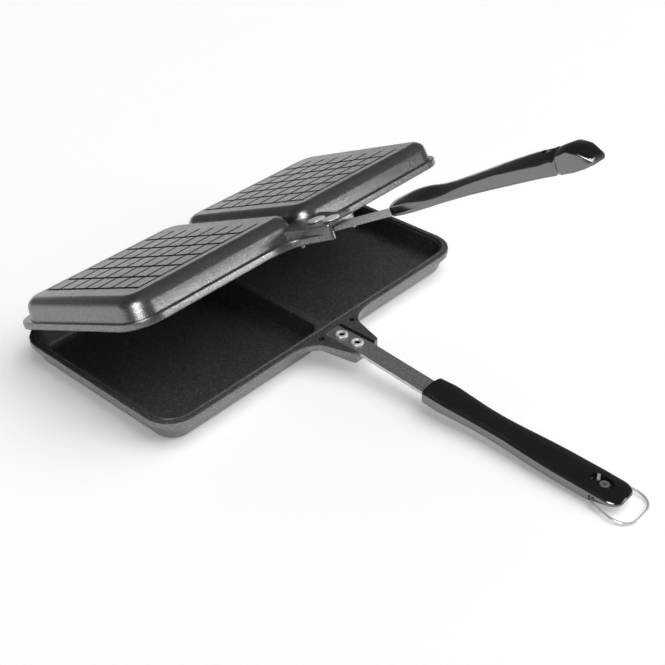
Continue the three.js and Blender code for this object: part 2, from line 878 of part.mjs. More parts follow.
function baseHandle() {
  const skin = loft(trayHandleSections());
  const slot = strip(trayBarPath, mouldGap).mirror([0, 0, 1]);
  const rivetHole = handleRivetHole(trayRivetY, trayHandleAt(trayRivetY).low);
  const recess = handleRecess(capsule(trayRecessLength, trayRecessWidth), trayRecessY, trayRecessZ);
  const ringHole = crossRod(wireRadius + runningGap, ringSideHalf, 2 * (ringTail + mouldGap));
  const ringHoles = bothSides(moved(ringHole, 0, ringY, ringZ));
  const pockets = bothSides(ringPocket());
  return cut(skin, [slot, rivetHole, recess, ...ringHoles, ...pockets]);
}

function lidHandle() {
  const skin = loft(lidHandleSections());
  const slot = strip(lidBarPath, mouldGap);
  const rivetHole = handleRivetHole(lidRivetY, lidHandleAt(lidRivetY).low);
  const recess = handleRecess(capsule(lidRecessLength, lidRecessWidth), lidRivetY, lidRecessZ);
  return cut(skin, [slot, rivetHole, recess]);
}

// Rivets

// A tubular rivet from its domed head at the bottom to its clinched ring at the top
function tubularRivet(grip) {
  const head = rivetHeadHeight;
  const top = grip + clinchHeight;
  const profile = [[0, -head]];
  for (let step = 1; step <= filletSteps; step++) {
    const angle = (step / filletSteps) * (Math.PI / 2);
    const height = -head * (1 - rivetDomeShare + rivetDomeShare * Math.cos(angle));
    profile.push([rivetHeadRadius * Math.sin(angle), height]);
  }
  profile.push([rivetHeadRadius, 0], [shankRadius, 0], [shankRadius, grip]);
  profile.push([clinchRadius, grip], [clinchRadius, grip + clinchHeight / 2]);
  profile.push([(clinchRadius + rivetBoreRadius) / 2, top], [rivetBoreRadius, grip + clinchHeight / 2]);
  profile.push([rivetBoreRadius, top - rivetBoreDepth], [0, top - rivetBoreDepth]);
  return turned(profile);
}

function baseRivet(place) {
  const under = trayHeight - trayBracketHeight - seatGap;
  const grip = trayBracketHeight - trayBarDepth + 2 * seatGap;
  return moved(tubularRivet(grip), 0, -place, under);
}

function lidRivet(place) {
  const over = lidRim + lidBracketHeight + seatGap;
  const grip = lidBracketHeight - lidBarDepth + 2 * seatGap;
  return moved(tubularRivet(grip).rotate([180, 0, 0]), 0, -place, over);
}

// The slim tubular rivet through a handle, flared at both ends
function handleRivet(low, high) {
  return turned([
    [handleRivetBore, low],
    [handleRivetRadius, low],
    [handleRivetRadius, low + handleRivetFlange],
    [handleRivetShank, low + handleRivetFlange],
    [handleRivetShank, high - handleRivetFlange],
    [handleRivetRadius, high - handleRivetFlange],
    [handleRivetRadius, high],
    [handleRivetBore, high],
    [handleRivetBore, low],
  ]);
}

function baseHandleRivet() {
  return moved(handleRivet(trayHandleAt(trayRivetY).low, trayRecessZ + flangeSeat), 0, trayRivetY, 0);
}

function lidHandleRivet() {
  return moved(handleRivet(lidHandleAt(lidRivetY).low, lidRecessZ + flangeSeat), 0, lidRivetY, 0);
}

// Hanging ring, drawn flat about its own swivel axis
function hangingRing() {
  const inner = ringSideHalf - ringTail;
  const path = new THREE.CurvePath();
  const point = (x, y) => new THREE.Vector3(x, y, 0);
  const shoulder = point(ringShoulderHalf, 0);
  const places = [
    point(inner, 0),
    point(ringShoulderHalf - ringBend, 0),
    point(ringShoulderHalf, -ringBend),
    point(ringHalf, ringCorner - ringReach),
    point(ringHalf - ringCornerSpan, -ringReach),
  ];
  const [tail, bendStart, bendEnd, cornerStart, cornerEnd] = places;
  const flip = (v) => point(-v.x, v.y);
  const corner = point(ringHalf, -ringReach);
  path.add(new THREE.LineCurve3(tail, bendStart));
  path.add(new THREE.QuadraticBezierCurve3(bendStart, shoulder, bendEnd));
  path.add(new THREE.LineCurve3(bendEnd, cornerStart));
  path.add(new THREE.QuadraticBezierCurve3(cornerStart, corner, cornerEnd));
  path.add(new THREE.LineCurve3(cornerEnd, flip(cornerEnd)));
  path.add(new THREE.QuadraticBezierCurve3(flip(cornerEnd), flip(corner), flip(cornerStart)));
  path.add(new THREE.LineCurve3(flip(cornerStart), flip(bendEnd)));
  path.add(new THREE.QuadraticBezierCurve3(flip(bendEnd), flip(shoulder), flip(bendStart)));
  path.add(new THREE.LineCurve3(flip(bendStart), flip(tail)));
  const wire = new THREE.Shape();
  wire.absarc(0, 0, wireRadius, 0, 2 * Math.PI);
  const settings = { steps: wireSteps, curveSegments: wireQuarterSteps, extrudePath: path };
  return solidOf(new THREE.ExtrudeGeometry(wire, settings));
}

function hingePin() {
  const width = lidLugWidth + 2 * (lugGap + lugWidth + hingePinOverhang);
  return crossRod(hingePinRadius, 0, width, hingePinEdge);
}

// Assembly

function material(color, roughness, metalness) {
  return new THREE.MeshStandardMaterial({ color, roughness, metalness });
}

const castAluminium = () => material(0x4c4c4e, 0.5, 0.6);
const coatedTray = () => material(0x3a3a3b, 0.55, 0.4);
const steel = () => material(0x8f8f8c, 0.35, 1);
const brightSteel = () => material(0xc9c9c6, 0.25, 1);
const phenolic = () => material(0x17130f, 0.2, 0);

function named(name, solid, finish) {
  const mesh = new THREE.Mesh(geometryOf(solid), finish);
  mesh.name = name;
  return mesh;
}

const sandwichPan = new THREE.Group();
const placed = new THREE.Group();
sandwichPan.add(placed);

const base = new THREE.Group();
base.add(named("base_tray", baseTray(), coatedTray()));
const trayBar = drilledBar(trayBarPath, trayBracketHeight, trayRivetY).mirror([0, 0, 1]);
base.add(named("base_bar", moved(trayBar, 0, 0, trayHeight), steel()));
base.add(named("base_rivet_rear", baseRivet(rivetPlaces[0]), brightSteel()));
base.add(named("base_rivet_front", baseRivet(rivetPlaces[1]), brightSteel()));
base.add(named("base_handle", moved(baseHandle(), 0, 0, trayHeight), phenolic()));
base.add(named("base_handle_rivet", moved(baseHandleRivet(), 0, 0, trayHeight), brightSteel()));
setPlaces.forEach((place, side) => {
  const pin = named(["hinge_pin_left", "hinge_pin_right"][side], hingePin(), brightSteel());
  pin.position.set(place, hingeY, hingeZ);
  base.add(pin);
});
placed.add(base);

// The lid's pieces are drawn closed, and the lid group turns them open about the hinge
const lid = new THREE.Group();
lid.position.set(0, hingeY, hingeZ);
lid.rotation.x = -radians(lidOpening);
const lidPieces = new THREE.Group();
lidPieces.position.set(0, -hingeY, -hingeZ);
lidPieces.add(named("lid_casting", lidCasting(), castAluminium()));
const lidBar = drilledBar(lidBarPath, lidBracketHeight, lidRivetY);
lidPieces.add(named("lid_bar", moved(lidBar, 0, 0, lidRim), steel()));
lidPieces.add(named("lid_rivet_rear", lidRivet(rivetPlaces[0]), brightSteel()));
lidPieces.add(named("lid_rivet_front", lidRivet(rivetPlaces[1]), brightSteel()));
lidPieces.add(named("lid_handle", moved(lidHandle(), 0, 0, lidRim), phenolic()));
lidPieces.add(named("lid_handle_rivet", moved(lidHandleRivet(), 0, 0, lidRim), brightSteel()));
lid.add(lidPieces);
placed.add(lid);

// The ring hangs from the lower handle until its far end lies on the table
const ringHeight = trayHeight + ringZ;
const ringTilt = Math.asin((ringHeight - wireRadius - tableGap) / ringReach);
const ring = named("hanging_ring", hangingRing(), brightSteel());
ring.position.set(0, ringY, ringHeight);
ring.rotation.x = ringTilt;
placed.add(ring);

const footprintBack = hingeY + lugRadius;
const footprintFront = ringY - ringReach * Math.cos(ringTilt) - wireRadius;
placed.position.y = -(footprintBack + footprintFront) / 2;

export default sandwichPan;
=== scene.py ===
import bpy
import bmesh
import math
from mathutils import Matrix, Vector


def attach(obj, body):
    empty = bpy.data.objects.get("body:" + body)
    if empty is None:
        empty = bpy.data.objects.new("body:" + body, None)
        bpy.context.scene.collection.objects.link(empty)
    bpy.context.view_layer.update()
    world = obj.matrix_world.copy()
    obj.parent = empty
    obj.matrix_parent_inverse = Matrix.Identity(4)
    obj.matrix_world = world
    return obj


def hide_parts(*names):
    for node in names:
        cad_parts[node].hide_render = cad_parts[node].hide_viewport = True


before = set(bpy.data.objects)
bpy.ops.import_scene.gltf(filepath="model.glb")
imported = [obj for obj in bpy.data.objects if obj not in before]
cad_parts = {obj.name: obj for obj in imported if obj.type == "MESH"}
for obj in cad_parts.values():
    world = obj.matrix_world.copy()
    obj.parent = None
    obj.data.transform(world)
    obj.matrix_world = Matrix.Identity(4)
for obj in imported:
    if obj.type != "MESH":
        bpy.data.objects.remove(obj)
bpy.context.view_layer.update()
scene = bpy.context.scene
mm = 0.001

lidHinge = {
    "place": Vector((0, 192.3789, 16.7)) * mm,
    "open": 24.2,  # degrees from closed, as the frame has it
}
lidTurn = Matrix.Rotation(math.radians(-lidHinge["open"]), 3, "X")
lidBack = lidTurn.inverted()

print("camera")
shot = {
    # fitted to the photo's corners: degrees, and millimetres in the frame
    "azimuth": -47.4,
    "elevation": 35.53,
    "roll": -0.8,
    "distance": 752.94,
    "target": (-2.53, 32.44, 19.5),
    "focalPixels": 1155.24,
    "imagePixels": 665,
    "sensorWidth": 36,
    "nearest": 0.01,  # metres, as is the next
    "farthest": 50,
}


def makeCamera(shot):
    data = bpy.data.cameras.new("camera")
    data.sensor_width = shot["sensorWidth"]
    data.lens = shot["sensorWidth"] * shot["focalPixels"] / shot["imagePixels"]
    data.clip_start = shot["nearest"]
    data.clip_end = shot["farthest"]
    camera = bpy.data.objects.new("camera", data)
    azimuth = math.radians(shot["azimuth"])
    elevation = math.radians(shot["elevation"])
    roll = math.radians(shot["roll"])
    back = Vector((
        math.sin(azimuth) * math.cos(elevation),
        -math.cos(azimuth) * math.cos(elevation),
        math.sin(elevation),
    ))
    right = (-back).cross(Vector((0, 0, 1))).normalized()
    up = right.cross(-back)
    turnedRight = right * math.cos(roll) + up * math.sin(roll)
    turnedUp = up * math.cos(roll) - right * math.sin(roll)
    place = Matrix((turnedRight, turnedUp, back)).transposed().to_4x4()
    place.translation = (Vector(shot["target"]) + back * shot["distance"]) * mm
    camera.matrix_world = place
    scene.collection.objects.link(camera)
    scene.camera = camera


makeCamera(shot)

print("light")
studio = {
    "horizon": 0.13,  # the dim room beyond the table
    "zenith": 0.035,
    "fadeEnd": 0.6,  # how high up the room has reached its zenith tone
    "glossyWhite": 0.025,  # how much of the white background metal shows
    # a broad ceiling light, which the gloss doesn't mirror
    "sky": {"toward": (0.26, -0.34, 0.9), "strength": 2.42, "angle": 66},
    "softboxes": [
        # name, place, aimed at, width, height, watts
        ("frontLamp", (0.92, -1.34, 0.52), (0, 0.03, 0.06), 0.62, 0.66, 5.6),
        ("cornerLamp", (-1.13, -0.6, 0.9), (0, 0.05, 0.05), 1.0, 1.0, 17.0),
    ],
    "glossOnly": "cornerLamp",  # a reflector that lights nothing else
}


def mathNode(tree, operation, *values):
    node = tree.nodes.new("ShaderNodeMath")
    node.operation = operation
    for slot, value in enumerate(values):
        if hasattr(value, "links"):
            tree.links.new(value, node.inputs[slot])
        else:
            node.inputs[slot].default_value = value
    return node.outputs[0]


def makeWorld(studio):
    world = bpy.data.worlds.new("studio")
    scene.world = world
    world.use_nodes = True
    tree = world.node_tree
    nodes, links = tree.nodes, tree.links
    nodes.clear()
    output = nodes.new("ShaderNodeOutputWorld")
    coords = nodes.new("ShaderNodeTexCoord")
    split = nodes.new("ShaderNodeSeparateXYZ")
    ramp = nodes.new("ShaderNodeMapRange")
    ramp.interpolation_type = "SMOOTHSTEP"
    ramp.inputs["From Min"].default_value = 0.0
    ramp.inputs["From Max"].default_value = studio["fadeEnd"]
    ramp.inputs["To Min"].default_value = studio["horizon"]
    ramp.inputs["To Max"].default_value = studio["zenith"]
    room = nodes.new("ShaderNodeBackground")
    white = nodes.new("ShaderNodeBackground")
    path = nodes.new("ShaderNodeLightPath")
    mix = nodes.new("ShaderNodeMixShader")
    links.new(coords.outputs["Generated"], split.inputs[0])
    links.new(split.outputs["Z"], ramp.inputs["Value"])
    links.new(ramp.outputs[0], room.inputs["Strength"])
    shown = mathNode(tree, "MULTIPLY", path.outputs["Is Glossy Ray"], studio["glossyWhite"])
    shown = mathNode(tree, "MAXIMUM", path.outputs["Is Camera Ray"], shown)
    shown = mathNode(tree, "MAXIMUM", path.outputs["Is Transmission Ray"], shown)
    links.new(shown, mix.inputs[0])
    links.new(room.outputs[0], mix.inputs[1])
    links.new(white.outputs[0], mix.inputs[2])
    links.new(mix.outputs[0], output.inputs[0])
    white.inputs["Color"].default_value = (1, 1, 1, 1)


def makeSky(look):
    data = bpy.data.lights.new("skyPanel", "SUN")
    data.energy = look["strength"]
    data.angle = math.radians(look["angle"])
    lamp = bpy.data.objects.new("skyPanel", data)
    lamp.visible_glossy = False
    lamp.rotation_euler = Vector(look["toward"]).to_track_quat("Z", "Y").to_euler()
    scene.collection.objects.link(lamp)


def makeSoftboxes(studio):
    for name, place, aim, width, height, watts in studio["softboxes"]:
        data = bpy.data.lights.new(name, "AREA")
        data.shape = "RECTANGLE" if width != height else "DISK"
        data.size, data.size_y, data.energy = width, height, watts
        lamp = bpy.data.objects.new(name, data)
        lamp.location = place
        lamp.rotation_euler = (Vector(aim) - Vector(place)).to_track_quat("-Z", "Y").to_euler()
        lamp.visible_diffuse = name != studio["glossOnly"]
        scene.collection.objects.link(lamp)


makeWorld(studio)
makeSky(studio["sky"])
makeSoftboxes(studio)

print("shared effects")


def newGroup(name, inputs, outputs):
    group = bpy.data.node_groups.new(name, "ShaderNodeTree")
    for label, kind, value in inputs:
        socket = group.interface.new_socket(name=label, in_out="INPUT", socket_type=kind)
        socket.default_value = value
    for label, kind in outputs:
        group.interface.new_socket(name=label, in_out="OUTPUT", socket_type=kind)
    into = group.nodes.new("NodeGroupInput")
    out = group.nodes.new("NodeGroupOutput")
    return group, into, out


def mixColor(tree, factor, first, second):
    node = tree.nodes.new("ShaderNodeMix")
    node.data_type = "RGBA"
    for label, value in (("Factor", factor), ("A", first), ("B", second)):
        socket = node.inputs[label]
        if hasattr(value, "links"):
            tree.links.new(value, socket)
        else:
            socket.default_value = value
    return node.outputs["Result"]


def noiseNode(tree, coords, scale, detail=3.0, stretch=None):
    noise = tree.nodes.new("ShaderNodeTexNoise")
    if hasattr(scale, "links"):
        tree.links.new(scale, noise.inputs["Scale"])
    else:
        noise.inputs["Scale"].default_value = scale
    noise.inputs["Detail"].default_value = detail
    source = coords
    if stretch:
        mapping = tree.nodes.new("ShaderNodeMapping")
        mapping.inputs["Scale"].default_value = stretch
        tree.links.new(coords, mapping.inputs["Vector"])
        source = mapping.outputs[0]
    tree.links.new(source, noise.inputs["Vector"])
    return noise.outputs["Fac"]


flakeLook = {
    "grain": 2600.0,  # cells in a metre, unless a coat says otherwise
    "patches": 25.0,
    "contrast": 2.0,
    "speckStart": 0.985,  # only the palest cells become specks
    "tilt": 0.5,
    "fineDetail": 1.0,
    "cloudDetail": 4.0,
}


def makeSparkle(look):
    # fine metal flakes in a sprayed coat: masks for the colours, and a height
    group, into, out = newGroup(
        "metalFlakes",
        [
            ("Grain", "NodeSocketFloat", look["grain"]),
            ("Patches", "NodeSocketFloat", look["patches"]),
        ],
        [(label, "NodeSocketFloat") for label in ("Flakes", "Specks", "Cloud", "Height")],
    )
    coords = group.nodes.new("ShaderNodeTexCoord").outputs["Object"]
    cells = group.nodes.new("ShaderNodeTexVoronoi")
    group.links.new(coords, cells.inputs["Vector"])
    group.links.new(into.outputs["Grain"], cells.inputs["Scale"])
    grain = group.nodes.new("ShaderNodeSeparateColor")
    group.links.new(cells.outputs["Color"], grain.inputs[0])
    flakes = mathNode(group, "POWER", grain.outputs[0], look["contrast"])
    specks = mathNode(group, "GREATER_THAN", grain.outputs[2], look["speckStart"])
    fine = noiseNode(group, coords, into.outputs["Grain"], look["fineDetail"])
    cloud = noiseNode(group, coords, into.outputs["Patches"], look["cloudDetail"])
    tilt = mathNode(group, "MULTIPLY", grain.outputs[1], look["tilt"])
    height = mathNode(group, "ADD", tilt, fine)
    group.links.new(flakes, out.inputs["Flakes"])
    group.links.new(specks, out.inputs["Specks"])
    group.links.new(cloud, out.inputs["Cloud"])
    group.links.new(height, out.inputs["Height"])
    return group


scuffLook = {
    "length": 40.0,
    "smudge": 18.0,
    "stretch": (1.0, 14.0, 14.0),
    "scratchDetail": 2.0,
    "scratchStart": 0.71,
    "smudgeDetail": 3.0,
}


def makeScuffs(look):
    # thin handling scratches and soft smudges
    group, into, out = newGroup(
        "scuffs",
        [
            ("Length", "NodeSocketFloat", look["length"]),
            ("Smudge", "NodeSocketFloat", look["smudge"]),
        ],
        [("Scratches", "NodeSocketFloat"), ("Smudges", "NodeSocketFloat")],
    )
    coords = group.nodes.new("ShaderNodeTexCoord").outputs["Object"]
    lines = noiseNode(group, coords, into.outputs["Length"], look["scratchDetail"], look["stretch"])
    thin = mathNode(group, "GREATER_THAN", lines, look["scratchStart"])
    smudges = noiseNode(group, coords, into.outputs["Smudge"], look["smudgeDetail"])
    group.links.new(thin, out.inputs["Scratches"])
    group.links.new(smudges, out.inputs["Smudges"])
    return group


grooveLook = {
    # the pattern of L-shaped strokes, as the lid's casting has it
    "columnPitch": 16.4 * mm,
    "rowPitch": 15.3 * mm,
    "columns": 6,
    "rows": 7,
    "half": 0.75 * mm,  # half a stroke's width
    "acrossReach": 13.8 * mm,
    "alongReach": 14.0 * mm,
    "leftStart": -118.0 * mm,
    "rightStart": 19.6 * mm,
    "frontStart": 57.13 * mm,
    "solid": 0.25 * mm,  # how far the full painted shade reaches past a stroke
    "spread": 1.0 * mm,  # where it has faded out
}


def makePaintedGrooveShade(look):
    # painted shade along the edges of the grooves, on the closed lid's own axes: a dark band
    # standing in for the shade in the grooves
    group, _, out = newGroup("paintedGrooveShade", [], [("Soot", "NodeSocketFloat")])
    coords = group.nodes.new("ShaderNodeTexCoord").outputs["Object"]
    closed = group.nodes.new("ShaderNodeMapping")
    closed.inputs["Rotation"].default_value = (math.radians(lidHinge["open"]), 0, 0)
    closed.inputs["Location"].default_value = lidHinge["place"] - lidBack @ lidHinge["place"]
    group.links.new(coords, closed.inputs["Vector"])
    split = group.nodes.new("ShaderNodeSeparateXYZ")
    group.links.new(closed.outputs[0], split.inputs[0])
    isRight = mathNode(group, "GREATER_THAN", split.outputs["X"], 0.0)
    jump = mathNode(group, "MULTIPLY", isRight, look["rightStart"] - look["leftStart"])
    fromLeft = mathNode(group, "SUBTRACT", split.outputs["X"], look["leftStart"])
    across = mathNode(group, "SUBTRACT", fromLeft, jump)
    along = mathNode(group, "SUBTRACT", split.outputs["Y"], look["frontStart"])
    margin = look["half"] + look["spread"]
    inColumn = mathNode(group, "WRAP", across, look["columnPitch"] - margin, -margin)
    inRow = mathNode(group, "WRAP", along, look["rowPitch"] - margin, -margin)
    gaps = []
    for beside, ahead, reach in (
        (inRow, inColumn, look["acrossReach"]),
        (inColumn, inRow, look["alongReach"]),
    ):
        toSide = mathNode(group, "SUBTRACT", mathNode(group, "ABSOLUTE", beside), look["half"])
        toEnd = mathNode(group, "SUBTRACT", ahead, reach)
        gaps.append(mathNode(group, "MAXIMUM", toSide, toEnd))
    gap = mathNode(group, "MINIMUM", *gaps)
    fade = group.nodes.new("ShaderNodeMapRange")
    fade.interpolation_type = "SMOOTHSTEP"
    fade.inputs["From Min"].default_value = look["solid"]
    fade.inputs["From Max"].default_value = look["spread"]
    fade.inputs["To Min"].default_value = 1.0
    fade.inputs["To Max"].default_value = 0.0
    group.links.new(gap, fade.inputs["Value"])
    width = (look["columns"] - 1) * look["columnPitch"] + look["acrossReach"] + look["spread"]
    depth = (look["rows"] - 1) * look["rowPitch"] + look["alongReach"] + look["spread"]
    shown = fade.outputs[0]
    for value, end in ((across, width), (along, depth)):
        shown = mathNode(group, "MULTIPLY", shown, mathNode(group, "GREATER_THAN", value, -margin))
        shown = mathNode(group, "MULTIPLY", shown, mathNode(group, "LESS_THAN", value, end))
    group.links.new(shown, out.inputs["Soot"])
    return group


metalFlakes = makeSparkle(flakeLook)
paintedGrooveShade = makePaintedGrooveShade(grooveLook)
scuffs = makeScuffs(scuffLook)

print("materials")


def newMaterial(name):
    material = bpy.data.materials.new(name)
    material.use_nodes = True
    tree = material.node_tree
    return material, tree, tree.nodes["Principled BSDF"]


def addGroup(tree, group, **values):
    node = tree.nodes.new("ShaderNodeGroup")
    node.node_tree = group
    for label, value in values.items():
        node.inputs[label].default_value = value
    return node


def addBump(tree, shader, height, strength, distance):
    bump = tree.nodes.new("ShaderNodeBump")
    bump.inputs["Strength"].default_value = strength
    bump.inputs["Distance"].default_value = distance
    tree.links.new(height, bump.inputs["Height"])
    tree.links.new(bump.outputs[0], shader.inputs["Normal"])


def rangeNode(tree, value, low, high):
    node = tree.nodes.new("ShaderNodeMapRange")
    tree.links.new(value, node.inputs["Value"])
    node.inputs["To Min"].default_value = low
    node.inputs["To Max"].default_value = high
    return node.outputs[0]


coatCommon = {
    "dimPatch": (0.92, 0.92, 0.92, 1),
    "warmPatch": (1.06, 1.05, 1.03, 1),
    "smoother": 0.04,
    "rougher": 0.05,
    "specular": 0.5,
    "bumpDepth": 0.05 * mm,
}


def coatMaterial(name, look):
    material, tree, shader = newMaterial(name)
    flakes = addGroup(tree, metalFlakes, Grain=look["grain"], Patches=look["patches"])
    cloud = flakes.outputs["Cloud"]
    shade = mixColor(tree, flakes.outputs["Flakes"], look["dark"], look["light"])
    shade = mixColor(tree, flakes.outputs["Specks"], shade, look["speck"])
    tint = mixColor(tree, cloud, coatCommon["dimPatch"], coatCommon["warmPatch"])
    product = tree.nodes.new("ShaderNodeMix")
    product.data_type = "RGBA"
    product.blend_type = "MULTIPLY"
    product.inputs["Factor"].default_value = 1.0
    tree.links.new(shade, product.inputs["A"])
    tree.links.new(tint, product.inputs["B"])
    shade = product.outputs["Result"]
    shader.inputs["Metallic"].default_value = look["metallic"]
    shader.inputs["IOR"].default_value = look["ior"]
    if "soot" in look:
        # the painted groove shade is dull, so it takes the metal and the gloss away as well
        soot = addGroup(tree, paintedGrooveShade).outputs["Soot"]
        shade = mixColor(tree, soot, shade, look["soot"])
        unshaded = mathNode(tree, "SUBTRACT", 1.0, soot)
        metal = mathNode(tree, "MULTIPLY", unshaded, look["metallic"])
        gloss = mathNode(tree, "MULTIPLY", unshaded, coatCommon["specular"])
        tree.links.new(metal, shader.inputs["Metallic"])
        tree.links.new(gloss, shader.inputs["Specular IOR Level"])
    tree.links.new(shade, shader.inputs["Base Color"])
    least = look["rough"] - coatCommon["smoother"]
    most = look["rough"] + coatCommon["rougher"]
    tree.links.new(rangeNode(tree, cloud, least, most), shader.inputs["Roughness"])
    addBump(tree, shader, flakes.outputs["Height"], look["bump"], coatCommon["bumpDepth"])
    return material


outerLook = {
    "dark": (0.17, 0.17, 0.17, 1),
    "light": (0.335, 0.335, 0.332, 1),
    "speck": (0.5, 0.5, 0.5, 1),
    "grain": 2300.0,
    "patches": 30.0,
    "metallic": 0.8,
    "rough": 0.26,
    "ior": 1.5,
    "bump": 0.35,
}
outerCoat = coatMaterial("greyMetallicCoat", outerLook)
# the lid's coat gets a near-black painted shade along its grooves
lidCoat = coatMaterial("greyLidCoat", {**outerLook, "soot": (0.008, 0.008, 0.008, 1)})
innerCoat = coatMaterial("nonStickCoat", {
    "dark": (0.04, 0.04, 0.038, 1),
    "light": (0.125, 0.125, 0.12, 1),
    "speck": (0.2, 0.2, 0.19, 1),
    "grain": 1700.0,
    "patches": 22.0,
    "metallic": 0.0,
    "rough": 0.42,
    "ior": 1.5,
    "bump": 0.4,
})
# near-black painted shade for the groove floors and walls
grooveShadeCoat = coatMaterial("sootyGroove", {
    "dark": (0.006, 0.006, 0.006, 1),
    "light": (0.02, 0.02, 0.02, 1),
    "speck": (0.03, 0.03, 0.03, 1),
    "grain": 2600.0,
    "patches": 40.0,
    "metallic": 0.0,
    "rough": 0.85,
    "ior": 1.2,
    "bump": 0.3,
})


steelCommon = {
    "grainDetail": 2.0,
    "patchDetail": 3.0,
    "darkBelow": 0.36,
    "lightAbove": 0.64,
    "smoother": 0.06,
    "rougher": 0.08,
    "bumpDepth": 0.03 * mm,
}


def steelMaterial(name, look):
    material, tree, shader = newMaterial(name)
    coords = tree.nodes.new("ShaderNodeTexCoord").outputs["Object"]
    brushed = noiseNode(tree, coords, look["grain"], steelCommon["grainDetail"], look["stretch"])
    cloud = noiseNode(tree, coords, look["patches"], steelCommon["patchDetail"])
    grains = tree.nodes.new("ShaderNodeMapRange")
    grains.inputs["From Min"].default_value = steelCommon["darkBelow"]
    grains.inputs["From Max"].default_value = steelCommon["lightAbove"]
    tree.links.new(brushed, grains.inputs["Value"])
    shade = mixColor(tree, grains.outputs[0], look["dark"], look["light"])
    tree.links.new(shade, shader.inputs["Base Color"])
    least = look["rough"] - steelCommon["smoother"]
    most = look["rough"] + steelCommon["rougher"]
    tree.links.new(rangeNode(tree, cloud, least, most), shader.inputs["Roughness"])
    shader.inputs["Metallic"].default_value = look["metallic"]
    addBump(tree, shader, brushed, look["bump"], steelCommon["bumpDepth"])
    return material


barSteel = steelMaterial("barSteel", {
    "dark": (0.45, 0.45, 0.435, 1),
    "light": (0.8, 0.8, 0.775, 1),
    "grain": 1500.0,
    "stretch": (1.0, 0.5, 1.0),
    "patches": 60.0,
    "metallic": 0.85,
    "rough": 0.38,
    "bump": 0.3,
})
plateSteel = steelMaterial("nickelSteel", {
    "dark": (0.8, 0.8, 0.79, 1),
    "light": (0.92, 0.92, 0.91, 1),
    "grain": 300.0,
    "stretch": (1.0, 1.0, 1.0),
    "patches": 200.0,
    "metallic": 0.25,
    "rough": 0.28,
    "bump": 0.1,
})
wireSteel = steelMaterial("wireSteel", {
    "dark": (0.78, 0.78, 0.77, 1),
    "light": (0.92, 0.92, 0.91, 1),
    "grain": 500.0,
    "stretch": (1.0, 1.0, 1.0),
    "patches": 200.0,
    "metallic": 0.45,
    "rough": 0.22,
    "bump": 0.1,
})
# near-black painted shade for the inside of the rivets' bores
boreShadeSteel = steelMaterial("paintedShadeBore", {
    "dark": (0.02, 0.02, 0.02, 1),
    "light": (0.08, 0.08, 0.078, 1),
    "grain": 500.0,
    "stretch": (1.0, 1.0, 1.0),
    "patches": 200.0,
    "metallic": 0.4,
    "rough": 0.5,
    "bump": 0.1,
})


def resinMaterial(name, look):
    material, tree, shader = newMaterial(name)
    marks = addGroup(tree, scuffs, Length=look["scratchLength"], Smudge=look["smudge"])
    shade = mixColor(tree, marks.outputs["Smudges"], look["dark"], look["light"])
    tree.links.new(shade, shader.inputs["Base Color"])
    worn = rangeNode(tree, marks.outputs["Scratches"], 0.0, look["scratchRough"])
    rough = rangeNode(tree, marks.outputs["Smudges"], look["leastRough"], look["mostRough"])
    tree.links.new(mathNode(tree, "ADD", rough, worn), shader.inputs["Roughness"])
    shader.inputs["IOR"].default_value = look["ior"]
    shader.inputs["Specular Tint"].default_value = look["tint"]
    addBump(tree, shader, marks.outputs["Smudges"], look["bump"], look["bumpDepth"])
    return material


handleResin = resinMaterial("handleResin", {
    "dark": (0.002, 0.0015, 0.0012, 1),
    "light": (0.007, 0.005, 0.004, 1),
    "scratchLength": 60.0,
    "smudge": 35.0,
    "leastRough": 0.13,
    "mostRough": 0.22,
    "scratchRough": 0.18,
    "ior": 2.7,
    "tint": (1, 0.96, 0.93, 1),
    "bump": 0.08,
    "bumpDepth": 0.4 * mm,
})

print("pieces")


welding = {
    "distance": 0.004 * mm,
    "flatWithin": 0.6,  # degrees
}


def mergedCopy(node, name):
    # the node's loose triangles welded, with flat areas made whole
    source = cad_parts[node]
    work = bmesh.new()
    work.from_mesh(source.data)
    bmesh.ops.remove_doubles(work, verts=work.verts, dist=welding["distance"])
    bmesh.ops.dissolve_limit(
        work,
        angle_limit=math.radians(welding["flatWithin"]),
        verts=work.verts,
        edges=work.edges,
        use_dissolve_boundaries=False,
    )
    mesh = bpy.data.meshes.new(name)
    work.to_mesh(mesh)
    work.free()
    piece = bpy.data.objects.new(name, mesh)
    scene.collection.objects.link(piece)
    return piece


def smoothByAngle(piece, degrees):
    mesh = piece.data
    mesh.shade_smooth()
    mesh.set_sharp_from_angle(angle=math.radians(degrees))


def holdFlats(piece, look, turn):
    # the wide flat faces keep their own even shading, apart from the roundings beside them
    mesh = piece.data
    planes = {}
    for face in mesh.polygons:
        normal = turn @ face.normal
        if abs(normal.z) > look["level"]:
            height = round((turn @ face.center).z, 4)
            planes.setdefault((normal.z > 0, height), []).append(face)
    flat = set()
    for faces in planes.values():
        if sum(face.area for face in faces) > look["least"]:
            flat.update(face.index for face in faces)
    inside, outside = set(), set()
    for face in mesh.polygons:
        (inside if face.index in flat else outside).update(face.edge_keys)
    for edge in mesh.edges:
        if edge.key in inside and edge.key in outside:
            edge.use_edge_sharp = True
    rounded = piece.vertex_groups.new(name="rounded")
    held = {vertex for face in flat for vertex in mesh.polygons[face].vertices}
    free = [vertex.index for vertex in mesh.vertices if vertex.index not in held]
    rounded.add(free, 1.0, "REPLACE")
    weightNormals(piece, "rounded")


def weightNormals(piece, group=""):
    weighted = piece.modifiers.new("weightedNormals", "WEIGHTED_NORMAL")
    weighted.vertex_group = group
    weighted.mode = "FACE_AREA"
    weighted.weight = 100  # the large flat faces keep their own normals
    weighted.keep_sharp = True


def roundEdges(piece, look):
    bevel = piece.modifiers.new("roundedEdges", "BEVEL")
    bevel.width = look["edgeRadius"]
    bevel.segments = look["edgeSteps"]
    bevel.limit_method = "ANGLE"
    bevel.angle_limit = math.radians(look["edgeAngle"])
    bevel.harden_normals = False


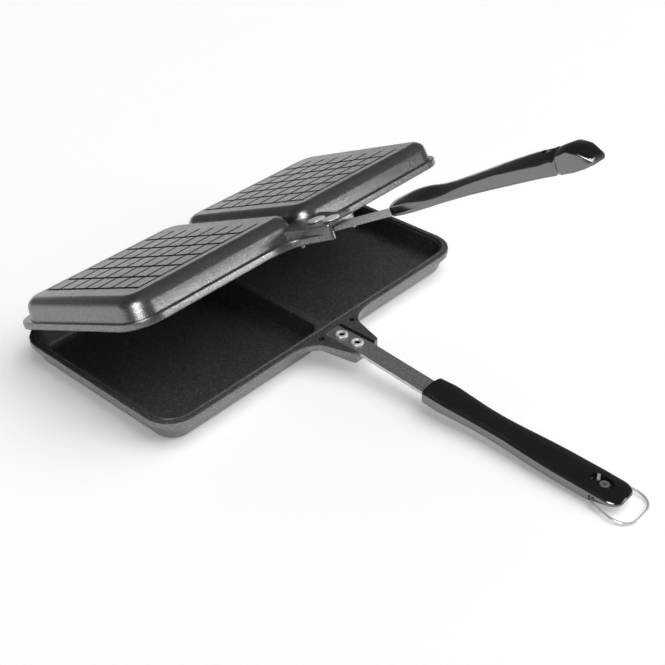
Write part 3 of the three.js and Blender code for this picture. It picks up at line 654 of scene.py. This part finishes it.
def easeEdges(piece, look, keepSharp):
    # cast and moulded edges get a small rounding, apart from those that keepSharp names
    work = bmesh.new()
    work.from_mesh(piece.data)
    weights = work.edges.layers.float.new("bevel_weight_edge")
    for edge in work.edges:
        if len(edge.link_faces) == 2 and not keepSharp(edge):
            if edge.calc_face_angle() > math.radians(look["edgeAngle"]):
                edge[weights] = 1.0
    work.to_mesh(piece.data)
    work.free()
    bevel = piece.modifiers.new("easedEdges", "BEVEL")
    bevel.width = look["edgeRadius"]
    bevel.segments = look["edgeSteps"]
    bevel.limit_method = "WEIGHT"


def finishPiece(piece, node, body, materials):
    for material in materials:
        piece.data.materials.append(material)
    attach(piece, body)
    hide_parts(node)


def paintFaces(piece, choose):
    for face in piece.data.polygons:
        face.material_index = choose(face)


castingLook = {
    "least": 0.002,  # square metres of a wide flat
    "level": 0.9995,  # how upright its normal is
    "edgeAngle": 50,
    "edgeRadius": 0.3 * mm,
    "edgeSteps": 2,
    "smoothBelow": 32,
}
trayLook = {
    "innerSlope": 0.15,  # faces that look up by more than this have the inner coat
}


def makeTray():
    piece = mergedCopy("base_tray", "trayCasting")
    easeEdges(piece, castingLook, lambda edge: False)
    smoothByAngle(piece, castingLook["smoothBelow"])
    holdFlats(piece, castingLook, Matrix.Identity(3))
    finishPiece(piece, "base_tray", "base", [outerCoat, innerCoat])
    paintFaces(piece, lambda face: 1 if face.normal.z > trayLook["innerSlope"] else 0)


lidLook = {
    # heights with the lid closed
    "top": 38.5 * mm,
    "grooveFloor": 37.6 * mm,
    "edgeSlack": 0.1 * mm,
    "floorSlack": 0.03 * mm,
    "floorSlope": 0.99,
    "wallSlope": 0.1,
    "innerSlope": -0.15,
}


def closedPlace(point):
    return lidBack @ (Vector(point) - lidHinge["place"]) + lidHinge["place"]


def isGrooveEdge(edge):
    lowest = min(closedPlace(vertex.co).z for vertex in edge.verts)
    return lowest > lidLook["grooveFloor"] - lidLook["edgeSlack"]


def makeLid():
    piece = mergedCopy("lid_casting", "lidCasting")
    easeEdges(piece, castingLook, isGrooveEdge)
    smoothByAngle(piece, castingLook["smoothBelow"])
    holdFlats(piece, castingLook, lidBack)
    finishPiece(piece, "lid_casting", "lid", [lidCoat, innerCoat, grooveShadeCoat])

    def choose(face):
        height = closedPlace(face.center).z
        slope = (lidBack @ face.normal).z
        atFloor = abs(height - lidLook["grooveFloor"]) < lidLook["floorSlack"]
        betweenFloorAndTop = lidLook["grooveFloor"] < height < lidLook["top"]
        # groove floors and walls take the painted shade material
        if atFloor and slope > lidLook["floorSlope"]:
            return 2
        if betweenFloorAndTop and abs(slope) < lidLook["wallSlope"]:
            return 2
        return 1 if slope < lidLook["innerSlope"] else 0

    paintFaces(piece, choose)


makeTray()
makeLid()


barLook = {
    "smoothBelow": 30,
    "edgeAngle": 40,
    "edgeRadius": 0.25 * mm,
    "edgeSteps": 2,
}


def makeBars(look):
    for node, name, body in (("base_bar", "trayBar", "base"), ("lid_bar", "lidBar", "lid")):
        piece = mergedCopy(node, name)
        smoothByAngle(piece, look["smoothBelow"])
        roundEdges(piece, look)
        weightNormals(piece)
        finishPiece(piece, node, body, [barSteel])


makeBars(barLook)

handleLook = {
    "smoothBelow": 42,
    "edgeAngle": 55,
    "edgeRadius": 0.4 * mm,
    "edgeSteps": 2,
}


def makeHandles(look):
    for node, name, body in (
        ("base_handle", "trayHandle", "base"),
        ("lid_handle", "lidHandle", "lid"),
    ):
        piece = mergedCopy(node, name)
        easeEdges(piece, look, lambda edge: False)
        smoothByAngle(piece, look["smoothBelow"])
        weightNormals(piece)
        finishPiece(piece, node, body, [handleResin])


makeHandles(handleLook)

fastenerLook = {
    "smoothBelow": 50,
}


def makeFasteners(look):
    for node, body in (
        ("base_handle_rivet", "base"),
        ("lid_handle_rivet", "lid"),
        ("hinge_pin_left", "base"),
        ("hinge_pin_right", "base"),
        ("hanging_ring", "ring"),
    ):
        words = node.split("_")
        piece = mergedCopy(node, words[0] + "".join(word.capitalize() for word in words[1:]))
        smoothByAngle(piece, look["smoothBelow"])
        weightNormals(piece)
        steel = barSteel if "rivet" in words else wireSteel
        finishPiece(piece, node, body, [steel])


makeFasteners(fastenerLook)

rivetLook = {
    # millimetres
    "head": 5.8,
    "headHeight": 1.7,
    "domeShare": 0.7,
    "headEdge": 0.15,
    "shank": 2.6,
    "ring": 4.4,
    "ringHeight": 1.3,
    "solidRing": 0.7,  # the ring's height in the frame
    "bore": 1.9,
    "boreDepth": 3.0,
    "arcSteps": 10,
    "turnSteps": 64,
    "weld": 0.002,
    "boreSlack": 0.01,
    "smoothBelow": 40,  # degrees
}


def rivetProfile(look, grip):
    # the domed head, the shank through the grip, the clinched ring and its bore
    profile = []
    rim, edge = look["head"], look["headEdge"]
    for step in range(look["arcSteps"] + 1):
        angle = step / look["arcSteps"] * math.pi / 2
        share = 1 - look["domeShare"] + look["domeShare"] * math.cos(angle)
        profile.append((rim * math.sin(angle), -look["headHeight"] * share))
    profile += [(rim, -edge), (rim - edge, 0), (look["shank"], 0), (look["shank"], grip)]
    middle = (look["ring"] + look["bore"]) / 2
    roll = (look["ring"] - look["bore"]) / 2
    for step in range(look["arcSteps"] + 1):
        angle = step / look["arcSteps"] * math.pi
        height = grip + look["ringHeight"] * math.sin(angle)
        profile.append((middle + roll * math.cos(angle), height))
    floor = grip + look["ringHeight"] - look["boreDepth"]
    return profile + [(look["bore"], floor), (0, floor)]


def spunPiece(name, profile, look, place):
    work = bmesh.new()
    verts = [work.verts.new((radius * mm, 0, height * mm)) for radius, height in profile]
    edges = [work.edges.new(pair) for pair in zip(verts, verts[1:])]
    bmesh.ops.spin(
        work,
        geom=verts + edges,
        cent=(0, 0, 0),
        axis=(0, 0, 1),
        dvec=(0, 0, 0),
        angle=2 * math.pi,
        steps=look["turnSteps"],
        use_merge=True,
        use_duplicate=False,
    )
    bmesh.ops.remove_doubles(work, verts=work.verts, dist=look["weld"] * mm)
    bmesh.ops.recalc_face_normals(work, faces=work.faces)
    boreReach = (look["bore"] + look["boreSlack"]) * mm
    # the faces inside a bore take the painted shade material
    for face in work.faces:
        inside = max(vertex.co.xy.length for vertex in face.verts) < boreReach
        face.material_index = 1 if inside and face.calc_center_median().z > 0 else 0
    bmesh.ops.transform(work, matrix=place, verts=work.verts)
    mesh = bpy.data.meshes.new(name)
    work.to_mesh(mesh)
    work.free()
    piece = bpy.data.objects.new(name, mesh)
    scene.collection.objects.link(piece)
    return piece


def closedBox(node, body):
    points = [vertex.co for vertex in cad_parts[node].data.vertices]
    if body == "lid":
        points = [closedPlace(point) for point in points]
    low = Vector([min(point[axis] for point in points) for axis in range(3)])
    high = Vector([max(point[axis] for point in points) for axis in range(3)])
    return low, high


def makeRivets(look):
    for node, name, body in (
        ("base_rivet_rear", "baseRivetRear", "base"),
        ("base_rivet_front", "baseRivetFront", "base"),
        ("lid_rivet_rear", "lidRivetRear", "lid"),
        ("lid_rivet_front", "lidRivetFront", "lid"),
    ):
        low, high = closedBox(node, body)
        middle = (low + high) / 2
        grip = (high.z - low.z) / mm - look["headHeight"] - look["solidRing"]
        seat = Matrix.Translation((middle.x, middle.y, low.z + look["headHeight"] * mm))
        if body == "lid":
            seat = Matrix.Translation((middle.x, middle.y, high.z - look["headHeight"] * mm))
            seat = seat @ Matrix.Rotation(math.pi, 4, "X")
            turn = Matrix.Translation(lidHinge["place"]) @ lidTurn.to_4x4()
            seat = turn @ Matrix.Translation(-lidHinge["place"]) @ seat
        piece = spunPiece(name, rivetProfile(look, grip), look, seat)
        smoothByAngle(piece, look["smoothBelow"])
        finishPiece(piece, node, body, [plateSteel, boreShadeSteel])


makeRivets(rivetLook)

print("floor")
floorLook = {
    "half": 1.0,  # metres from the middle to an edge
    "cells": 8,
    "drop": 0.1 * mm,
    "albedo": 0.92,
    "glow": 0.27,
}


def makeFloor(look):
    work = bmesh.new()
    cells = look["cells"]
    bmesh.ops.create_grid(work, x_segments=cells, y_segments=cells, size=look["half"])
    bmesh.ops.translate(work, verts=work.verts, vec=(0, 0, -look["drop"]))
    mesh = bpy.data.meshes.new("floor")
    work.to_mesh(mesh)
    work.free()
    floor = bpy.data.objects.new("floor", mesh)
    scene.collection.objects.link(floor)
    material, tree, shader = newMaterial("whiteTable")
    nodes, links = tree.nodes, tree.links
    output = nodes["Material Output"]
    nodes.remove(shader)
    matte = nodes.new("ShaderNodeBsdfDiffuse")
    matte.inputs["Color"].default_value = (look["albedo"],) * 3 + (1,)
    glow = nodes.new("ShaderNodeEmission")
    path = nodes.new("ShaderNodeLightPath")
    seen = path.outputs["Is Camera Ray"]
    for label in ("Is Glossy Ray", "Is Transmission Ray"):
        seen = mathNode(tree, "MAXIMUM", seen, path.outputs[label])
    links.new(mathNode(tree, "MULTIPLY", seen, look["glow"]), glow.inputs["Strength"])
    both = nodes.new("ShaderNodeAddShader")
    links.new(matte.outputs[0], both.inputs[0])
    links.new(glow.outputs[0], both.inputs[1])
    links.new(both.outputs[0], output.inputs["Surface"])
    floor.data.materials.append(material)


makeFloor(floorLook)

scene.view_settings.view_transform = "Standard"
